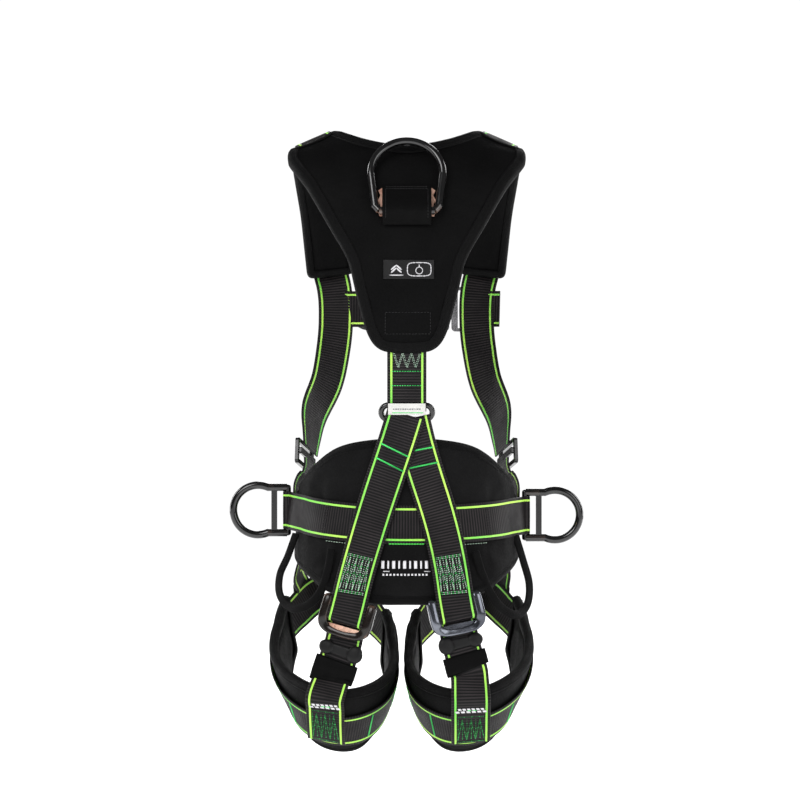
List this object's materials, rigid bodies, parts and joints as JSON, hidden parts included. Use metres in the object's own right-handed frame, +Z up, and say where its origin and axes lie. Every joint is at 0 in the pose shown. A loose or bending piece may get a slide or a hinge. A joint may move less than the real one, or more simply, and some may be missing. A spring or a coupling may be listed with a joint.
{
  "type": "full-body climbing harness",
  "caption": "Full-body fabric climbing harness: padded back yoke with dorsal ring, padded work belt with hip rings, quick-connect buckles and padded leg loops.",
  "frame": {"origin": "middle of the wearer's waist, at the level of the belt", "axes": "+Z up along the wearer's spine, +Y to the wearer's front, +X to the wearer's right"},
  "size_m": [0.4248, 0.2845, 0.7302],
  "materials": {
    "black_forged_metal": "gloss black over forged metal",
    "keeper_plate": "bronze-tinted, semi-gloss",
    "black_steel_frame": "gloss black plated steel",
    "steel_buckle": "satin",
    "anodised_cover": "black anodised, satin",
    "release_lever": "green anodised, satin",
    "moulded_keeper": "moulded, matte",
    "printed_label": "printed satin label",
    "binding_tape": "woven tape",
    "spacer_mesh": "open spacer mesh",
    "pad_fabric": "smooth laminated neoprene",
    "flap_fabric": "woven nylon",
    "gear_tape": "flat woven tape",
    "edge_striped_webbing": "ribbed polyester webbing with lime edge lines"
  },
  "bodies": {
    "harness": {"back_pad_binding": "binding_tape", "back_pad_cover": "pad_fabric", "back_pad_lining": "spacer_mesh", "belt_front_left": "edge_striped_webbing", "belt_front_right": "edge_striped_webbing", "belt_pad": "pad_fabric", "belt_pad_binding": "binding_tape", "belt_webbing": "edge_striped_webbing", "centre_strap": "edge_striped_webbing", "chest_buckle_base": "steel_buckle", "chest_buckle_cover": "anodised_cover", "chest_strap_left": "edge_striped_webbing", "chest_strap_right": "edge_striped_webbing", "diagonal_strap_left": "edge_striped_webbing", "diagonal_strap_right": "edge_striped_webbing", "dorsal_keeper": "keeper_plate", "dorsal_web_flap": "flap_fabric", "flank_adjuster_left": "black_steel_frame", "flank_adjuster_right": "black_steel_frame", "flank_strap_left": "edge_striped_webbing", "flank_strap_right": "edge_striped_webbing", "front_riser_left": "edge_striped_webbing", "front_riser_right": "edge_striped_webbing", "gear_loop_left": "gear_tape", "gear_loop_right": "gear_tape", "leg_buckle_frame_left": "steel_buckle", "leg_buckle_frame_right": "steel_buckle", "leg_pad_left": "pad_fabric", "leg_pad_right": "pad_fabric", "leg_riser_left": "edge_striped_webbing", "leg_riser_right": "edge_striped_webbing", "leg_webbing_left": "edge_striped_webbing", "leg_webbing_right": "edge_striped_webbing", "lower_ring": "black_forged_metal", "rear_adjuster_left": "black_steel_frame", "rear_adjuster_right": "black_steel_frame", "sewn_labels": "printed_label", "shoulder_pad_left": "pad_fabric", "shoulder_pad_right": "pad_fabric", "shoulder_strap_left": "edge_striped_webbing", "shoulder_strap_right": "edge_striped_webbing", "waist_buckle_base": "steel_buckle", "waist_buckle_cover": "anodised_cover", "web_keepers": "moulded_keeper"},
    "dorsal_ring": {"dorsal_d_ring": "black_forged_metal"},
    "side_ring_left": {"side_d_ring_left": "black_forged_metal"},
    "side_ring_right": {"side_d_ring_right": "black_forged_metal"},
    "sternal_ring": {"sternal_d_ring": "black_forged_metal"},
    "rear_bar_left": {"rear_slide_bar_left": "black_steel_frame"},
    "rear_bar_right": {"rear_slide_bar_right": "black_steel_frame"},
    "flank_bar_left": {"flank_slide_bar_left": "black_steel_frame"},
    "flank_bar_right": {"flank_slide_bar_right": "black_steel_frame"},
    "chest_tongue": {"chest_buckle_tongue": "steel_buckle"},
    "chest_upper_lever": {"chest_buckle_lever_upper": "release_lever"},
    "chest_lower_lever": {"chest_buckle_lever_lower": "release_lever"},
    "waist_tongue": {"waist_buckle_tongue": "steel_buckle"},
    "waist_upper_lever": {"waist_buckle_lever_upper": "release_lever"},
    "waist_lower_lever": {"waist_buckle_lever_lower": "release_lever"},
    "leg_plate_left": {"leg_buckle_plate_left": "steel_buckle"},
    "leg_plate_right": {"leg_buckle_plate_right": "steel_buckle"}
  },
  "joints": [
    {"name": "dorsal_ring_hinge", "type": "hinge", "parent": "harness", "child": "dorsal_ring", "pos_m": [0, -0.14045, 0.35911], "axis": [1, 0, 0], "range_deg": [0, 150]},
    {"name": "side_ring_left_hinge", "type": "hinge", "parent": "harness", "child": "side_ring_left", "pos_m": [-0.142, 0, 0.012], "axis": [0, 0, 1], "range_deg": [-75, 55]},
    {"name": "side_ring_right_hinge", "type": "hinge", "parent": "harness", "child": "side_ring_right", "pos_m": [0.142, 0, 0.006], "axis": [0, 0, 1], "range_deg": [-55, 75]},
    {"name": "sternal_ring_hinge", "type": "hinge", "parent": "harness", "child": "sternal_ring", "pos_m": [-0.04188, 0.12716, 0.25818], "axis": [-0.002, 0.0203, -0.9998], "range_deg": [0, 150]},
    {"name": "rear_bar_left_slide", "type": "slide", "parent": "harness", "child": "rear_bar_left", "axis": [0.2854, 0.136, 0.9487], "range_m": [-0.003, 0.003]},
    {"name": "flank_bar_left_slide", "type": "slide", "parent": "harness", "child": "flank_bar_left", "axis": [0.0176, 0.3193, 0.9475], "range_m": [-0.005, 0.005]},
    {"name": "rear_bar_right_slide", "type": "slide", "parent": "harness", "child": "rear_bar_right", "axis": [-0.2245, 0.1668, 0.9601], "range_m": [-0.003, 0.003]},
    {"name": "flank_bar_right_slide", "type": "slide", "parent": "harness", "child": "flank_bar_right", "axis": [-0.0176, 0.3193, 0.9475], "range_m": [-0.005, 0.005]},
    {"name": "chest_tongue_slide", "type": "slide", "parent": "harness", "child": "chest_tongue", "axis": [0.9987, -0.0508, -0.0012], "range_m": [0, 0.022], "deforming": ["chest_strap_right"]},
    {"name": "chest_upper_lever_hinge", "type": "hinge", "parent": "harness", "child": "chest_upper_lever", "pos_m": [0.0125, 0.1289, 0.28374], "axis": [0.0509, 0.9984, 0.0239], "range_deg": [0, 7], "stiffness_Nm_per_rad": 0.02, "springref_deg": -8.59},
    {"name": "chest_lower_lever_hinge", "type": "hinge", "parent": "harness", "child": "chest_lower_lever", "pos_m": [0.0125, 0.13012, 0.23275], "axis": [-0.0509, -0.9984, -0.0239], "range_deg": [0, 7], "stiffness_Nm_per_rad": 0.02, "springref_deg": -8.59},
    {"name": "waist_tongue_slide", "type": "slide", "parent": "harness", "child": "waist_tongue", "axis": [1, 0, 0], "range_m": [0, 0.022], "deforming": ["belt_front_right"]},
    {"name": "waist_upper_lever_hinge", "type": "hinge", "parent": "harness", "child": "waist_upper_lever", "pos_m": [-0.014, 0.11269, 0.03315], "axis": [0, 0.9994, -0.0351], "range_deg": [0, 7], "stiffness_Nm_per_rad": 0.02, "springref_deg": -8.59},
    {"name": "waist_lower_lever_hinge", "type": "hinge", "parent": "harness", "child": "waist_lower_lever", "pos_m": [-0.014, 0.1109, -0.01782], "axis": [0, -0.9994, 0.0351], "range_deg": [0, 7], "stiffness_Nm_per_rad": 0.02, "springref_deg": -8.59},
    {"name": "leg_plate_left_hinge", "type": "hinge", "parent": "harness", "child": "leg_plate_left", "pos_m": [-0.07425, 0.08692, -0.09328], "axis": [-0.1484, -0.1106, -0.9827], "range_deg": [0, 55]},
    {"name": "leg_plate_right_hinge", "type": "hinge", "parent": "harness", "child": "leg_plate_right", "pos_m": [0.06225, 0.08692, -0.09328], "axis": [-0.1484, 0.1106, 0.9827], "range_deg": [0, 55]}
  ],
  "couplings": [
    {"joint": "chest_lower_lever_hinge", "follows": "chest_upper_lever_hinge", "ratio": 1},
    {"joint": "waist_lower_lever_hinge", "follows": "waist_upper_lever_hinge", "ratio": 1}
  ]
}
